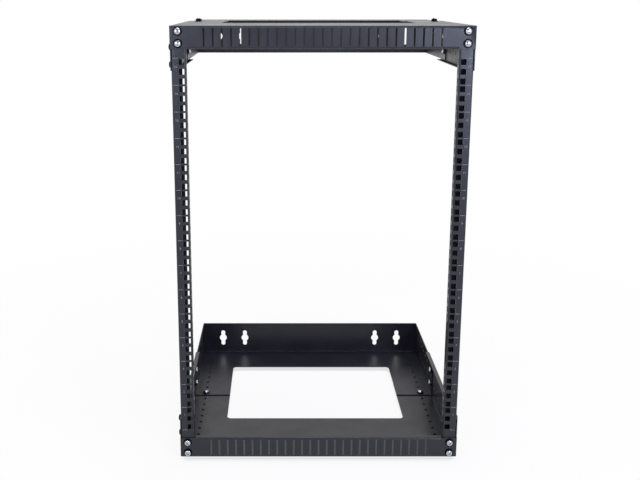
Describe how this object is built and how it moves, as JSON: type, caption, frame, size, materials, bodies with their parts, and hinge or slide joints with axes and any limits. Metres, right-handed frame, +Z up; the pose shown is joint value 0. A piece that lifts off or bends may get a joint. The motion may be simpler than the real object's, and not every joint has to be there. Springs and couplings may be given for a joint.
{
  "type": "wall mount open frame rack",
  "caption": "Open frame 19 inch equipment rack for a wall: perforated C posts between telescoping steel trays with slotted front lips, cable openings and keyholes.",
  "frame": {"origin": "on the wall plane, which the rear panels touch, on the centre line and half way up", "axes": "+Y points into the wall, so the open front faces -Y; +X is to the right seen from the front; +Z is up"},
  "size_m": [0.5164, 0.4877, 0.7872],
  "materials": {
    "powder_coat": "fine textured matte black powder coat",
    "zinc": "bright zinc plate",
    "black_oxide": "black oxide, satin"
  },
  "bodies": {
    "wall_trays": {"bottom_rear_tray": "powder_coat", "top_rear_tray": "powder_coat"},
    "front_frame": {"bottom_front_tray": "powder_coat", "top_front_tray": "powder_coat", "right_post": "powder_coat", "left_post": "powder_coat", "right_lip_screws": "zinc", "right_lip_washers": "black_oxide", "right_lip_nuts": "zinc", "right_side_screws": "black_oxide", "right_side_washers": "black_oxide", "right_side_nuts": "zinc", "right_wall_depth_screws": "zinc", "right_wall_depth_washers": "black_oxide", "right_wall_depth_nuts": "black_oxide", "right_floor_depth_screws": "zinc", "right_floor_depth_washers": "black_oxide", "right_floor_depth_nuts": "black_oxide", "left_lip_screws": "zinc", "left_lip_washers": "black_oxide", "left_lip_nuts": "zinc", "left_side_screws": "black_oxide", "left_side_washers": "black_oxide", "left_side_nuts": "zinc", "left_wall_depth_screws": "zinc", "left_wall_depth_washers": "black_oxide", "left_wall_depth_nuts": "black_oxide", "left_floor_depth_screws": "zinc", "left_floor_depth_washers": "black_oxide", "left_floor_depth_nuts": "black_oxide"}
  },
  "joints": [
    {"name": "depth_slide", "type": "slide", "parent": "wall_trays", "child": "front_frame", "axis": [0, 1, 0], "range_m": [0, 0.1524]}
  ]
}
